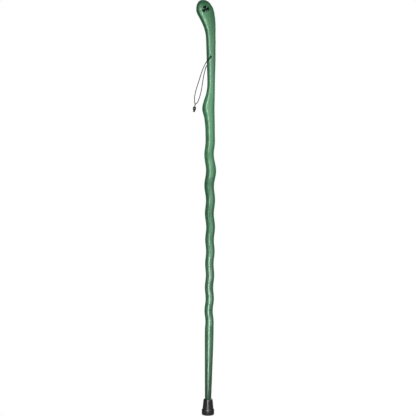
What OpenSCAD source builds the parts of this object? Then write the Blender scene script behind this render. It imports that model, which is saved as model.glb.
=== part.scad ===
// Hiking staff: one carved length of hardwood with a flattened head, a thumb swell, a twisted shaft
// and a tapered foot, a clover let into the head, a corded wrist loop and a rubber ferrule.
// Millimetres, +Z up, the face of the head towards -Y, +X to the right of someone who looks at it.
// The origin is the middle of the ferrule's sole.

/* [Staff] */
// Overall length, from the sole of the ferrule to the top of the head
staff_length = 1397; // [1260:1:1473]
// Height of the top of the plain taper, where the twist starts
taper_top_h = 287; // [240:1:298]
// Diameter of the shaft just above the ferrule
shaft_foot_d = 21.4; // [21:0.1:25]
// Diameter at the top of the plain taper
taper_top_d = 30; // [26:0.5:34]
// Sideways bow of the shaft at the top of the taper
taper_bow = 2; // [0:0.1:4]

/* [Twist] */
// Height of the lowest crest of the twist
twist_low_h = 310; // [305:1:340]
// Distance of the highest crest of the twist below the top of the head
twist_drop = 519; // [500:1:560]
// Turns between the lowest crest and the highest
twist_turns = 6.5; // [3.5:0.5:8.5]
// Diameter of the shaft at the lowest crest
twist_low_d = 28.4; // [26:0.1:34]
// Diameter of the shaft where the twist is thickest
twist_top_d = 34.6; // [30:0.1:38]
// How far the twist throws the shaft off its line where it is strongest
twist_throw = 3.5; // [0:0.1:5]
// Sideways bow of the shaft in the middle of the twist
twist_bow = 2.1; // [0:0.1:4]

/* [Grip] */
// Distance of the waist under the swell below the top of the head
waist_drop = 446; // [435:1:460]
// Diameter of the waist under the swell
waist_d = 32; // [28:0.5:36]
// How far the waist leans to the left
waist_lean = 0.6; // [0:0.1:3]
// Distance of the thumb swell below the top of the head
swell_drop = 366; // [345:1:385]
// Width of the thumb swell
swell_w = 42.5; // [36:0.5:50]
// Thickness of the thumb swell from front to back
swell_t = 37; // [32:0.5:44]
// How far the swell leans to the left
swell_lean = 7.5; // [0:0.5:12]
// Distance of the narrow neck below the top of the head
neck_drop = 285; // [270:1:300]
// Width of the narrow neck
neck_w = 26; // [22:0.5:30]
// Thickness of the narrow neck from front to back
neck_t = 27; // [22:0.5:32]
// How far the neck leans to the right
neck_lean = 1.4; // [0:0.1:3]
// Distance of the cord hole below the top of the head
hole_drop = 193; // [175:1:205]
// Width of the grip at the cord hole
grip_w = 31; // [27:0.5:36]
// Thickness of the grip at the cord hole
grip_t = 30; // [26:0.5:31]
// How far the grip leans to the right at the cord hole
grip_lean = 0.5; // [0:0.1:2]

/* [Head] */
// Distance of the throat under the head below the top of the head
throat_drop = 123; // [110:1:135]
// Width of the throat
throat_w = 34; // [30:0.5:40]
// Thickness of the throat from front to back
throat_t = 31; // [28:0.5:36]
// How far the throat leans to the left
throat_lean = 0.9; // [0:0.1:3]
// Distance of the widest part of the head below its top
head_drop = 42; // [38:1:55]
// Width of the head
head_w = 61.5; // [50:0.5:72]
// Thickness of the head from front to back
head_t = 34; // [30:0.5:42]
// How far the widest part of the head leans to the left
head_lean = 19.5; // [0:0.5:25]
// How much further the top of the head leans to the left
crown_lean = 8.5; // [0:0.5:12]

/* [Clover] */
// Distance of the middle of the clover below the top of the head
clover_drop = 35; // [32:0.5:40]
// How far the clover lies to the left of the middle of the shaft
clover_lean = 19.5; // [14:0.5:24]
// Distance from the middle of the clover to the lobes of a leaf
leaf_reach = 9; // [8:0.1:10]
// Radius of each of a leaf's two lobes
lobe_r = 3.5; // [2.8:0.1:3.8]
// Diameter of the round that the leaves grow from
hub_d = 5.4; // [4.6:0.1:6.4]
// Turn of the clover to the left
clover_turn = 22; // [-30:1:30]
// Length of the stalk from the middle of the clover
stalk_length = 10; // [8:0.5:12]
// Width of the stalk at its end
stalk_w = 3.4; // [2.4:0.1:4]
// Depth of the clover in the wood
clover_depth = 2.4; // [1.8:0.1:4]

/* [Wrist cord] */
// Diameter of the cord
cord_d = 2.5; // [1.8:0.1:2.7]
// Diameter of the hole that the cord passes through
hole_d = 4; // [3.6:0.1:5]
// Diameter of the eased mouths of the hole
hole_mouth_d = 8.4; // [8:0.1:11]
// Diameter of the bead at its middle
bead_d = 10.5; // [9.5:0.1:13]
// Diameter of the flat ends of the bead
bead_end_d = 7.6; // [7.2:0.1:9]
// Length of the bead
bead_length = 12.5; // [9:0.5:14]
// Diameter of the bore of the bead, which takes both strands
bead_bore_d = 5.8; // [5.7:0.1:6.6]
// Width of the stopper knot
knot_d = 7; // [6.8:0.1:9]
// Length of the stopper knot
knot_length = 4.2; // [4:0.1:8]
// Length of the cut ends below the knot
tail_length = 1.8; // [1.5:0.1:6]

/* [Ferrule] */
// Height of the ferrule
ferrule_h = 53; // [48:0.5:62]
// Diameter of the base of the ferrule
base_d = 41.6; // [38:0.2:46]
// Height of the base of the ferrule
base_h = 16; // [12:0.5:20]
// Height of the flare from the base to the body
flare_h = 5; // [3:0.5:9]
// Diameter of the ferrule's body above the flare
body_low_d = 36.2; // [34:0.2:38]
// Diameter of the ferrule's body under its rim
body_top_d = 30.8; // [29:0.2:33]
// Rounding of the ferrule's rim
rim_r = 3.8; // [1:0.1:4.5]
// Rounding of the lower edge of the base
base_edge_r = 2.4; // [1:0.1:4]
// Diameter of the turned foot that the ferrule grips
foot_d = 20; // [18:0.1:20.6]
// Thickness of the rubber under the washer
sole_t = 11; // [8:0.5:14]
// Width of the ring grooves in the sole
groove_w = 2.4; // [1.5:0.1:3.5]
// Distance between the ring grooves in the sole
groove_pitch = 4.6; // [4:0.1:6]
// Depth of the ring grooves in the sole
groove_depth = 2; // [1:0.1:4]
// Number of ring grooves in the sole
groove_count = 2; // [1:1:3]
// Thickness of the steel washer
washer_t = 1.6; // [1:0.1:3]
// Diameter of the hole in the washer
washer_bore_d = 6.4; // [4:0.1:10]

/* [Hidden] */
$fn = 64;

// Radial room of the foot in the ferrule's socket
foot_clearance = 0.05;
// Room between the end of the foot and the washer, and between the shaft's shoulder and the rim
seat_gap = 0.2;
// Room around the clover in its recess
clover_gap = 0.1;
// Room between the bead and the knot
bead_gap = 0.2;
// How far every cut runs past what it cuts
overrun = 1;
// Height between two sections of the shaft
section_step = 9;
// Depth of the eased mouths of the cord hole
hole_mouth_depth = 4;
// Rounding of the top and of the bottom of the knot
knot_top_r = 0.8;
knot_foot_r = 2;
// Room between the two cut ends
tail_gap = 0.4;
// Bevel at the mouth of the ferrule's socket, and the flat that is left between it and the rim's rounding
socket_bevel = 1;
rim_flat = 0.4;

section_sides = 32;
crown_sections = 10;
cord_sides = 8;
arc_steps = 6;
lobe_steps = 12;
stalk_steps = 4;

// Squareness of the sections: 2 is an ellipse and more is squarer
round_share = 2;
grip_square_share = 2.3;
throat_square_share = 2.8;
head_square_share = 3.4;
// How far round its quarter turn the crown's last section lies
crown_end_share = 0.965;
// How late the thickness of the crown closes in: more is later
crown_close_share = 5;
// How the turns of the twist crowd towards the foot
twist_crowd_share = 0.27;
twist_bend_share = 1.5;
// Stations of the twist: height as a share of the twist's own, then the shares of the bow, of the way
// from the lowest diameter to the thickest, and of the throw
twist_shares = [
    [0, 0.45, 0, 0.6],
    [0.31, 0.85, 0.1, 0.42],
    [0.53, 1, 0.28, 0.53],
    [0.72, 0.2, 0.45, 0.66],
    [0.91, 0.15, 1, 1],
    [1, -0.2, 0.65, 0.95],
];
// Height, lean and form of an in-between station, as shares of the way from one station to the next
low_taper_shares = [0.33, 0.38, 0.38];
below_swell_shares = [0.58, 0.36, 0.31];
above_swell_shares = [0.33, 0.35, 0.33];
into_neck_shares = [0.61, 0.77, 0.77];
under_head_shares = [0.33, 0.16, 0.21];
beside_head_shares = [0.62, 0.45, 0.54];
// How far each lobe of a leaf lies from the leaf's middle line, as a share of its radius
lobe_spread_share = 0.72;
// Width of the stalk at the middle of the clover, and how far it curves aside
stalk_root_share = 0.6;
stalk_curve_share = 0.16;
// Turn from the upright leaf to each of the others
leaf_turn = 104;

// Where things stand along the staff
foot_base = sole_t + washer_t + seat_gap;
shaft_foot_h = ferrule_h + seat_gap;
twist_high_h = staff_length - twist_drop;
waist_h = staff_length - waist_drop;
swell_h = staff_length - swell_drop;
neck_h = staff_length - neck_drop;
hole_h = staff_length - hole_drop;
throat_h = staff_length - throat_drop;
head_h = staff_length - head_drop;
clover_h = staff_length - clover_drop;
socket_r = foot_d / 2 + foot_clearance;

function mix(a, b, share) = a + (b - a) * share;

// A station holds its height, sideways lean, width, thickness, squareness and throw of the twist
function round_station(height, lean, d, throw) = [height, lean, d, d, round_share, throw];
function between(low, high, shares) =
    [for (k = [0 : len(low) - 1]) mix(low[k], high[k], shares[min(k, 2)])];
function twist_station(shares) =
    round_station(mix(twist_low_h, twist_high_h, shares[0]), twist_bow * shares[1],
                  mix(twist_low_d, twist_top_d, shares[2]), twist_throw * shares[3]);

shaft_foot = round_station(shaft_foot_h, 0, shaft_foot_d, 0);
taper_top = round_station(taper_top_h, taper_bow, taper_top_d, 0);
waist = round_station(waist_h, -waist_lean, waist_d, 0);
swell = [swell_h, -swell_lean, swell_w, swell_t, grip_square_share, 0];
neck = [neck_h, neck_lean, neck_w, neck_t, grip_square_share, 0];
grip = [hole_h, grip_lean, grip_w, grip_t, grip_square_share, 0];
throat = [throat_h, -throat_lean, throat_w, throat_t, throat_square_share, 0];
head = [head_h, -head_lean, head_w, head_t, head_square_share, 0];

stations = [
    shaft_foot,
    between(shaft_foot, taper_top, low_taper_shares),
    taper_top,
    for (shares = twist_shares) twist_station(shares),
    waist,
    between(waist, swell, below_swell_shares),
    swell,
    between(swell, neck, above_swell_shares),
    between(swell, neck, into_neck_shares),
    neck,
    grip,
    throat,
    between(throat, head, under_head_shares),
    between(throat, head, beside_head_shares),
    head,
];

// A smooth line through value k of the stations, which never swings past them
function rise(i, k) = (stations[i + 1][k] - stations[i][k]) / (stations[i + 1][0] - stations[i][0]);
function slope(i, k) =
    i == 0 ? rise(0, k)
    : i == len(stations) - 1 ? rise(i - 1, k)
    : rise(i - 1, k) * rise(i, k) <= 0 ? 0
    : 2 / (1 / rise(i - 1, k) + 1 / rise(i, k));
function span_of(height, i = 0) =
    i >= len(stations) - 2 || height < stations[i + 1][0] ? i : span_of(height, i + 1);
function along(height, k) =
    let (
        i = span_of(height),
        run = stations[i + 1][0] - stations[i][0],
        t = (height - stations[i][0]) / run
    )
    mix(stations[i][k], stations[i + 1][k], t * t * (3 - 2 * t))
    + run * t * (1 - t) * (slope(i, k) * (1 - t) - slope(i + 1, k) * t);

// Angle of the twist at a height, with its crests closer together towards the foot
function twist_angle(height) =
    let (
        t = (height - twist_low_h) / (twist_high_h - twist_low_h),
        crowd = twist_crowd_share * pow(max(t, 0), twist_bend_share) * (1 - t)
    )
    360 * twist_turns * (t + crowd);

// One section of the staff: a squared ellipse, thrown off its line by the twist
function squared(c, square) = sign(c) * pow(abs(c), 2 / square);
function section(height, lean, w, t, square, throw) =
    let (turn = twist_angle(height))
    [for (i = [0 : section_sides - 1])
        let (a = 360 * i / section_sides)
        [lean + throw * cos(turn) + w / 2 * squared(cos(a), square),
         throw * sin(turn) + t / 2 * squared(sin(a), square),
         height]];
function shaft_section(h) = section(h, along(h, 1), along(h, 2), along(h, 3), along(h, 4), along(h, 5));
function crown_section(share) =
    let (end = 90 * crown_end_share, turn = end * share, up = sin(turn) / sin(end))
    section(head_h + head_drop * up, -head_lean - crown_lean * up, head_w * cos(turn),
            head_t * sqrt(1 - pow(sin(turn), crown_close_share)), head_square_share, 0);

shaft_steps = round((head_h - shaft_foot_h) / section_step);
staff_sections = [
    for (i = [0 : shaft_steps]) shaft_section(mix(shaft_foot_h, head_h, i / shaft_steps)),
    for (i = [1 : crown_sections]) crown_section(i / crown_sections)
];
// The sections of the head, which the clover is let into
head_sections = [for (ring = staff_sections) if (ring[0][2] > throat_h) ring];

// The route of each strand, measured from the middle of the hole to the knot, where the strands lie one
// behind the other, and the direction of the doubled cord above the knot
front_offsets = [
    [0, 0, 0], [0, -7.4, 0], [-0.2, -12.6, -0.3], [-1.1, -15.2, -1.5], [-2.8, -16.8, -3.5],
    [-6.2, -17.4, -8], [-10.9, -16.8, -13.5], [-15.3, -15.9, -19.3], [-19, -15, -25.6],
    [-22.3, -14.3, -32.1], [-25.4, -13.5, -38.8], [-28.1, -12.8, -45.6], [-30.6, -12, -52.4],
    [-32.9, -11.1, -59.3], [-35.2, -10.2, -66.3], [-37.4, -9.3, -73.2], [-39.5, -8.5, -80.2],
    [-41.7, -7.6, -87.1], [-44, -6.8, -94.1], [-46.2, -6, -101.1], [-48.3, -5.3, -108.1],
    [-50.2, -4.6, -115.1], [-51.9, -4, -122.3], [-53.2, -3.4, -129.5], [-54, -2.8, -136.7],
    [-54.1, -2.2, -144.1], [-53.6, -1.8, -151.4], [-52.6, -1.5, -158.5], [-52.9, -1.4, -164.9],
    [-54.1, -1.4, -172.2], [-55, -1.4, -179.4],
];
rear_offsets = [
    [0, 0, 0], [0, 7.3, 0], [-0.1, 12.5, -0.3], [-0.9, 15.2, -1.7], [-2.1, 16.8, -4], [-4.6, 17.4, -8.7],
    [-7.9, 17.3, -15.2], [-11.4, 16.5, -21.6], [-15.2, 15, -27.7], [-17.9, 13.9, -34.4],
    [-19.7, 13.3, -41.5], [-21.5, 12.5, -48.6], [-23.1, 11.6, -55.7], [-24.4, 10.7, -62.9],
    [-25.6, 9.7, -70.1], [-26.6, 8.8, -77.2], [-27.6, 7.9, -84.4], [-28.6, 7.1, -91.6],
    [-29.7, 6.2, -98.9], [-30.9, 5.5, -106.1], [-32.2, 4.8, -113.3], [-33.7, 4.2, -120.4],
    [-35.4, 3.6, -127.5], [-37.4, 3, -134.5], [-39.8, 2.4, -141.5], [-42.3, 2, -148.2],
    [-44.4, 1.7, -152.8], [-48.3, 1.5, -155.9], [-51.4, 1.4, -159.3], [-52.9, 1.4, -164.9],
    [-54.1, 1.4, -172.2], [-55, 1.4, -179.4],
];
loop_rise = [1, 0, 8];
hole_middle = [0, 0, hole_h];
front_route = [for (offset = front_offsets) hole_middle + offset];
rear_route = [for (offset = rear_offsets) hole_middle + offset];
loop_foot = (front_route[len(front_route) - 1] + rear_route[len(rear_route) - 1]) / 2;

// A tube round a route: each ring lies square to the route, and its first spoke is carried along
function unit(v) = v / norm(v);
function heading(route, i) = unit(route[min(i + 1, len(route) - 1)] - route[max(i - 1, 0)]);
function square_to(v, direction) = unit(v - (v * direction) * direction);
function spoke(route, i) = square_to(i == 0 ? [1, 0, 0] : spoke(route, i - 1), heading(route, i));
function tube_rings(route, d, sides) =
    [for (i = [0 : len(route) - 1])
        let (out = spoke(route, i), across = cross(heading(route, i), out))
        [for (j = [0 : sides - 1])
            let (a = 360 * j / sides)
            route[i] + d / 2 * (cos(a) * out + sin(a) * across)]];

// An arc about a middle point, and a smooth step from one point of an outline to the next
function arc(middle, r, from, to, steps = arc_steps) =
    [for (i = [0 : steps])
        let (a = mix(from, to, i / steps))
        middle + r * [cos(a), sin(a)]];
function easy_step(low, high) =
    [for (i = [0 : arc_steps])
        let (t = i / arc_steps)
        [mix(low[0], high[0], t * t * (3 - 2 * t)), mix(low[1], high[1], t)]];

// A closed skin over a list of rings that have as many points each
module skin(rings) {
    sides = len(rings[0]);
    last = len(rings) - 1;
    points = [for (ring = rings) each ring];
    walls = [
        for (i = [0 : last - 1], j = [0 : sides - 1])
            let (a = i * sides + j, b = i * sides + (j + 1) % sides)
            each [[a, a + sides, b], [b, a + sides, b + sides]]
    ];
    foot = [for (j = [0 : sides - 1]) j];
    top = [for (j = [sides - 1 : -1 : 0]) last * sides + j];
    polyhedron(points, concat(walls, [foot, top]));
}

// The hole for the cord, along Y, with an eased mouth at each end
module cord_hole() {
    mouth_rise = (hole_mouth_d - hole_d) / hole_mouth_depth;
    translate([0, 0, hole_h]) {
        rotate([90, 0, 0])
            cylinder(d = hole_d, h = grip_t + 2 * overrun, center = true);
        for (side = [-1, 1])
            rotate([90 * side, 0, 0])
                translate([0, 0, grip_t / 2 - hole_mouth_depth])
                    cylinder(d1 = hole_d, d2 = hole_mouth_d + overrun * mouth_rise,
                             h = hole_mouth_depth + overrun);
    }
}

// One heart-shaped leaf, pointing up from the middle of the clover: straight out to one lobe, round it
// to the notch, and back the same way
module leaf(grow) {
    spread = lobe_r * lobe_spread_share;
    r = lobe_r + grow;
    lean = atan2(spread, leaf_reach) + asin(r / norm([spread, leaf_reach]));
    lobe = arc([spread, leaf_reach], r, -lean, acos(-spread / r), lobe_steps);
    polygon(concat([[0, 0]], lobe, [for (i = [lobe_steps - 1 : -1 : 0]) [-lobe[i][0], lobe[i][1]]]));
}

// The stalk, which widens and curves aside on its way down
module stalk(grow) {
    sides = [for (i = [0 : stalk_steps])
        let (
            t = i / stalk_steps,
            half = stalk_w / 2 * mix(stalk_root_share, 1, t) + grow,
            aside = stalk_length * stalk_curve_share * t * t
        )
        [[aside - half, -(stalk_length + grow) * t], [aside + half, -(stalk_length + grow) * t]]];
    polygon(concat([for (pair = sides) pair[0]], [for (i = [stalk_steps : -1 : 0]) sides[i][1]]));
}

// The clover as a prism through the face of the head, grown all round by a gap
module clover(grow) {
    translate([-clover_lean, -head_t / 2 + clover_depth + grow, clover_h])
        rotate([90, 0, 0])
            linear_extrude(clover_depth + grow + overrun)
                rotate(clover_turn) {
                    for (i = [-1 : 1])
                        rotate(i * leaf_turn)
                            leaf(grow);
                    circle(d = hub_d + 2 * grow);
                    stalk(grow);
                }
}

// Places a piece on the doubled cord, with its foot at the knot
module on_loop() {
    translate(loop_foot)
        rotate([0, atan2(loop_rise[0], loop_rise[2]), 0])
            children();
}

module staff() {
    color("seagreen")
        difference() {
            union() {
                skin(staff_sections);
                translate([0, 0, foot_base])
                    cylinder(d = foot_d, h = shaft_foot_h + section_step - foot_base);
            }
            cord_hole();
            clover(clover_gap);
        }
}

module clover_inlay() {
    color("black")
        intersection() {
            skin(head_sections);
            clover(0);
        }
}

module wrist_cord_front() {
    color("dimgray")
        skin(tube_rings(front_route, cord_d, cord_sides));
}

module wrist_cord_rear() {
    color("dimgray")
        skin(tube_rings(rear_route, cord_d, cord_sides));
}

module cord_bead() {
    bore_r = bead_bore_d / 2;
    end_r = bead_end_d / 2;
    bulge = bead_d / 2 - end_r;
    color("black")
        on_loop()
            translate([0, 0, bead_gap])
                rotate_extrude()
                    polygon(concat(
                        [[bore_r, bead_length], [bore_r, 0]],
                        [for (turn = arc([0, 0], 1, -90, 90, 2 * arc_steps))
                            [end_r + bulge * turn[0], bead_length * (1 + turn[1]) / 2]]
                    ));
}

module cord_knot() {
    r = knot_d / 2;
    color("dimgray")
        on_loop() {
            rotate_extrude()
                polygon(concat(
                    [[0, 0], [0, -knot_length]],
                    arc([r - knot_foot_r, knot_foot_r - knot_length], knot_foot_r, -90, 0),
                    arc([r - knot_top_r, -knot_top_r], knot_top_r, 0, 90)
                ));
            for (way = [-1, 1])
                translate([way * (cord_d + tail_gap) / 2, 0, -knot_length - tail_length])
                    cylinder(d = cord_d, h = tail_length + knot_length / 2);
        }
}

module ferrule() {
    base_r = base_d / 2;
    flat_r = base_r - base_edge_r;
    rim_wall = body_top_d / 2 - socket_r - socket_bevel - rim_flat;
    rim = min(rim_r, rim_wall);
    grooves = [for (i = [groove_count : -1 : 1])
        let (inner = flat_r - i * groove_pitch, outer = inner + groove_w)
        each [[inner, 0], [inner, groove_depth], [outer, groove_depth], [outer, 0]]];
    color("dimgray")
        rotate_extrude()
            polygon(concat(
                [[0, 0]],
                grooves,
                arc([flat_r, base_edge_r], base_edge_r, -90, 0),
                easy_step([base_r, base_h], [body_low_d / 2, base_h + flare_h]),
                arc([body_top_d / 2 - rim, ferrule_h - rim], rim, 0, 90),
                [[socket_r + socket_bevel, ferrule_h], [socket_r, ferrule_h - socket_bevel],
                 [socket_r, sole_t], [0, sole_t]]
            ));
}

module ferrule_washer() {
    color("silver")
        translate([0, 0, sole_t])
            difference() {
                cylinder(d = foot_d, h = washer_t);
                translate([0, 0, -overrun])
                    cylinder(d = washer_bore_d, h = washer_t + 2 * overrun);
            }
}

staff();
clover_inlay();
wrist_cord_front();
wrist_cord_rear();
cord_bead();
cord_knot();
ferrule();
ferrule_washer();
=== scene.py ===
"""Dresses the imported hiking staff: carved and stained wood, a clover, a braided wrist cord with its bead
and knot, and a moulded rubber ferrule. Metres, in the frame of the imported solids."""

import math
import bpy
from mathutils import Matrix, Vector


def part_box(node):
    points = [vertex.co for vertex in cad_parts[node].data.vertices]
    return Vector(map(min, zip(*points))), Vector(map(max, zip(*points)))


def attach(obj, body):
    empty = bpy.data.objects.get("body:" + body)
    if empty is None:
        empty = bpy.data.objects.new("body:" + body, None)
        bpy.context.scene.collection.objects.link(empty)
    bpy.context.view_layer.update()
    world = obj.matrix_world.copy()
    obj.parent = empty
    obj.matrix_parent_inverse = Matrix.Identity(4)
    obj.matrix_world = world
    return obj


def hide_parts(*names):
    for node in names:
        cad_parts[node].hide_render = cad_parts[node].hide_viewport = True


bl_info = {
    "name": "Hiking staff",
    "version": (1, 0, 0),
    "blender": (4, 5, 0),
    "location": "View3D > Sidebar > Staff",
    "description": "Twisted wooden hiking staff with a clover, a wrist cord and a rubber ferrule",
    "category": "Add Mesh",
}

import bpy
from bpy.props import FloatProperty, FloatVectorProperty, IntProperty, PointerProperty
from bpy.types import Operator, Panel, PropertyGroup
from mathutils import Matrix, Vector

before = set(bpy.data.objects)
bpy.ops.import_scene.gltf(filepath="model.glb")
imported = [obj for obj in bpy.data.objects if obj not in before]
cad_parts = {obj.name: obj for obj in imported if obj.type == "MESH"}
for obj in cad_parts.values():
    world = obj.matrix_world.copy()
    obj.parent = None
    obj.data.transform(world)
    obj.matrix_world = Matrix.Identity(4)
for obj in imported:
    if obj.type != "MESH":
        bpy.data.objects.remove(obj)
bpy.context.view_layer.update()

MM = 0.001

# The turned foot inside the ferrule, and the shoulder above it where the shaft starts
FERRULE_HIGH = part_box("ferrule")[1].z
FOOT_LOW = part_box("staff")[0].z
FOOT_RADIUS = 10 * MM
FOOT_BEVEL = 0.8 * MM
SHAFT_RADIUS = 10.7 * MM
SHOULDER = FERRULE_HIGH + 0.2 * MM
SHOULDER_EASE = 0.25 * MM
SHOULDER_DROP = 0.1 * MM

# Reading the staff's solid: least points in a section, digits of a height, and the waist above the twist
FULL_SECTION = 100
HEIGHT_DIGITS = 5
WAIST = 951 * MM

# The hole for the cord, its mouths, and the room round it where no section is read
HOLE = Vector((0, 0, 1204 * MM))
HOLE_RADIUS = 2 * MM
HOLE_ROOM = 6 * MM
HOLE_SIDES = 32
MOUTH_RADIUS = 4.2 * MM
MOUTH_DEPTH = 4 * MM
MOUTH_STEPS = 8
MOUTH_OVERRUN = (1.2 * MM, 2 * MM)
GRIP_HALF = 15 * MM

# The clover on the face of the head
CLOVER = Vector((-19.5 * MM, 0, 1362 * MM))
CLOVER_FLOOR = -14.6 * MM
CLOVER_GAP = 0.1 * MM
CLOVER_REACH = 6 * MM
CLOVER_TURN = math.radians(22)
LEAF_TURN = math.radians(104)
LEAF_REACH = 9 * MM
LOBE_RADIUS = 3.5 * MM
LOBE_SPREAD = 2.52 * MM
LOBE_STEPS = 14
HUB_RADIUS = 2.7 * MM
HUB_SIDES = 48
STALK_LENGTH = 10 * MM
STALK_WIDTH = 3.4 * MM
STALK_TOP = 0.6
STALK_CURVE = 0.16
STALK_STEPS = 8

# The braid of the wrist cord, and the length of cord in one unit of its map
CORD_SIDES = 28
CORD_STEP = 0.3 * MM
ROUTE_STEPS = 24
BRAID_RELIEF = 0.05
CROWN_REACH = 1.4
CUT_END = 0.25
UV_LENGTH = 0.1

# The doubled cord at the knot
LOOP_FOOT = Vector((-55 * MM, 0, 1024.6 * MM))
LOOP_LEAN = math.atan2(1, 8)
ON_LOOP = Matrix.Translation(LOOP_FOOT) @ Matrix.Rotation(LOOP_LEAN, 4, "Y")

# The bead on the doubled cord, above the knot
BEAD_LOW = 0.2 * MM
BEAD_HIGH = 12.7 * MM
BEAD_BORE = 2.9 * MM
BEAD_END = 3.8 * MM
BEAD_BELLY = 5.25 * MM
BEAD_EASE = 0.35 * MM
BEAD_STEPS = 28
BEAD_SIDES = 64

# The coil of the stopper knot, with its start in degrees
COIL_RADIUS = 2.25 * MM
COIL_TOP = -0.6 * MM
COIL_FOOT = -3.3 * MM
COIL_START = -60
COIL_TURNS = 1.9
COIL_STEPS = 26
COIL_TIGHT = 0.72
COIL_LOOSENS = 1.6

# The strands of the knot: into the coil, out of it and inside it, in millimetres from the loop's foot
COIL_ENTRY = [(0, -1.4, 0.6)]
COIL_TAIL = [(1.7, -1.1, -4.1), (1.45, -0.2, -5), (1.5, 0, -6)]
KNOT_CORE = [
    (0, 1.4, 0.6), (0, 1, -1), (-0.4, 0.2, -2.6), (-1.1, 0.3, -3.9), (-1.5, 0.1, -4.9), (-1.5, 0, -5.8),
]

# The strands of the wrist cord, from the middle of the hole to the knot, in millimetres from that middle
FRONT_ROUTE = [
    (0, 0, 0), (0, -7.4, 0), (-0.2, -12.6, -0.3), (-1.1, -15.2, -1.5), (-2.8, -16.8, -3.5),
    (-6.2, -17.4, -8), (-10.9, -16.8, -13.5), (-15.3, -15.9, -19.3), (-19, -15, -25.6),
    (-22.3, -14.3, -32.1), (-25.4, -13.5, -38.8), (-28.1, -12.8, -45.6), (-30.6, -12, -52.4),
    (-32.9, -11.1, -59.3), (-35.2, -10.2, -66.3), (-37.4, -9.3, -73.2), (-39.5, -8.5, -80.2),
    (-41.7, -7.6, -87.1), (-44, -6.8, -94.1), (-46.2, -6, -101.1), (-48.3, -5.3, -108.1),
    (-50.2, -4.6, -115.1), (-51.9, -4, -122.3), (-53.2, -3.4, -129.5), (-54, -2.8, -136.7),
    (-54.1, -2.2, -144.1), (-53.6, -1.8, -151.4), (-52.6, -1.5, -158.5), (-52.9, -1.4, -164.9),
    (-54.1, -1.4, -172.2), (-55, -1.4, -179.4),
]
REAR_ROUTE = [
    (0, 0, 0), (0, 7.3, 0), (-0.1, 12.5, -0.3), (-0.9, 15.2, -1.7), (-2.1, 16.8, -4),
    (-4.6, 17.4, -8.7), (-7.9, 17.3, -15.2), (-11.4, 16.5, -21.6), (-15.2, 15, -27.7),
    (-17.9, 13.9, -34.4), (-19.7, 13.3, -41.5), (-21.5, 12.5, -48.6), (-23.1, 11.6, -55.7),
    (-24.4, 10.7, -62.9), (-25.6, 9.7, -70.1), (-26.6, 8.8, -77.2), (-27.6, 7.9, -84.4),
    (-28.6, 7.1, -91.6), (-29.7, 6.2, -98.9), (-30.9, 5.5, -106.1), (-32.2, 4.8, -113.3),
    (-33.7, 4.2, -120.4), (-35.4, 3.6, -127.5), (-37.4, 3, -134.5), (-39.8, 2.4, -141.5),
    (-42.3, 2, -148.2), (-44.4, 1.7, -152.8), (-48.3, 1.5, -155.9), (-51.4, 1.4, -159.3),
    (-52.9, 1.4, -164.9), (-54.1, 1.4, -172.2), (-55, 1.4, -179.4),
]

# The ferrule, from its sole up to its rim and down its socket
MIDDLE_RINGS = (1 * MM, 4 * MM)
SOLE_RADIUS = 18.4 * MM
SOLE_EDGE = 2.4 * MM
GROOVE_DEPTH = 2 * MM
GROOVE_WIDTH = 2.4 * MM
GROOVE_PITCH = 4.6 * MM
GROOVE_DRAFT = 0.2 * MM
BASE_RADIUS = 20.8 * MM
BASE_HIGH = 16 * MM
FLARE_HIGH = 5 * MM
FLARE_STEPS = 12
WALL_LOW_RADIUS = 18.1 * MM
WALL_TOP_RADIUS = 15.4 * MM
WALL_STEPS = 8
RIM = 3.8 * MM
ROUND_STEPS = 8
SOCKET_RADIUS = 10.05 * MM
SOCKET_FLOOR = 11 * MM
SOCKET_BEVEL = 1 * MM
MOULD_EDGE = 0.3 * MM
MOULD_EDGE_ANGLE = math.radians(50)

# The moulding seam on both sides of the ferrule's wall
SEAM_LOW = 2.5 * MM
SEAM_INNER = 13 * MM
SEAM_HALF = 0.35 * MM
SEAM_END = 0.1 * MM
ON_LINE = 0.01 * MM

# Heights between which the wood grows paler or darker, painted shade darkens the foot, the lacquer thins and
# the wood is left bare, and the middle of its growth rings
FOOT_PAINTED_SHADE = (0.24, 0.06)
SHAFT_PALE_FROM = (0.44, 0.54)
SHAFT_PALE_TO = (0.72, 0.79)
LACQUER_WORN = (0.5, 0.66)
GRIP_PALE_FROM = (0.79, 0.86)
GRIP_PALE_TO = (1.08, 1.2)
HEAD_FROM = (1.2, 1.3)
BARE_BELOW = (SHOULDER, SHOULDER - 0.4 * MM)
RING_MIDDLE = (0.046, 0.075)

# Tones of the finishes, beside those in the settings, and how high the dust reaches
PORE_TONE = (0.012, 0.048, 0.024, 1)
INLAY_TONES = ((0.002, 0.002, 0.003, 1), (0.007, 0.007, 0.008, 1))
BEAD_MARKS_TONE = (0.022, 0.021, 0.021, 1)
BLOOM_TONE = (0.018, 0.017, 0.016, 1)
STEEL_TONES = ((0.42, 0.42, 0.43, 1), (0.62, 0.62, 0.63, 1))
DUST_HIGH = 7 * MM

# The lamps, in order: name, width and height, place, and the point that it faces
LAMPS = (
    ("side", (1, 1), (-1.3, 1.35, 1.2), (0, 0, 0.8)),
    ("key", (1, 1), (0.66, -1.35, 1), (0, 0, 0.95)),
    ("fill", (1.8, 1.35), (0.67, -1.25, 0.92), (0, 0, 0.92)),
    ("strip", (0.065, 0.7), (-0.19, -0.587, 1.16), (0, 0, 1.16)),
    ("low_strip", (0.06, 0.52), (-0.035, -0.307, 0.27), (0, 0, 0.27)),
    ("middle_strip", (0.05, 0.15), (-0.19, -0.42, 0.58), (0, 0, 0.58)),
    ("back", (1.6, 1.2), (0.9, 1.9, 2.2), (0, 0, 0.7)),
)
LAMPS_WITHOUT_HIGHLIGHT = ("side", "key")

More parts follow.
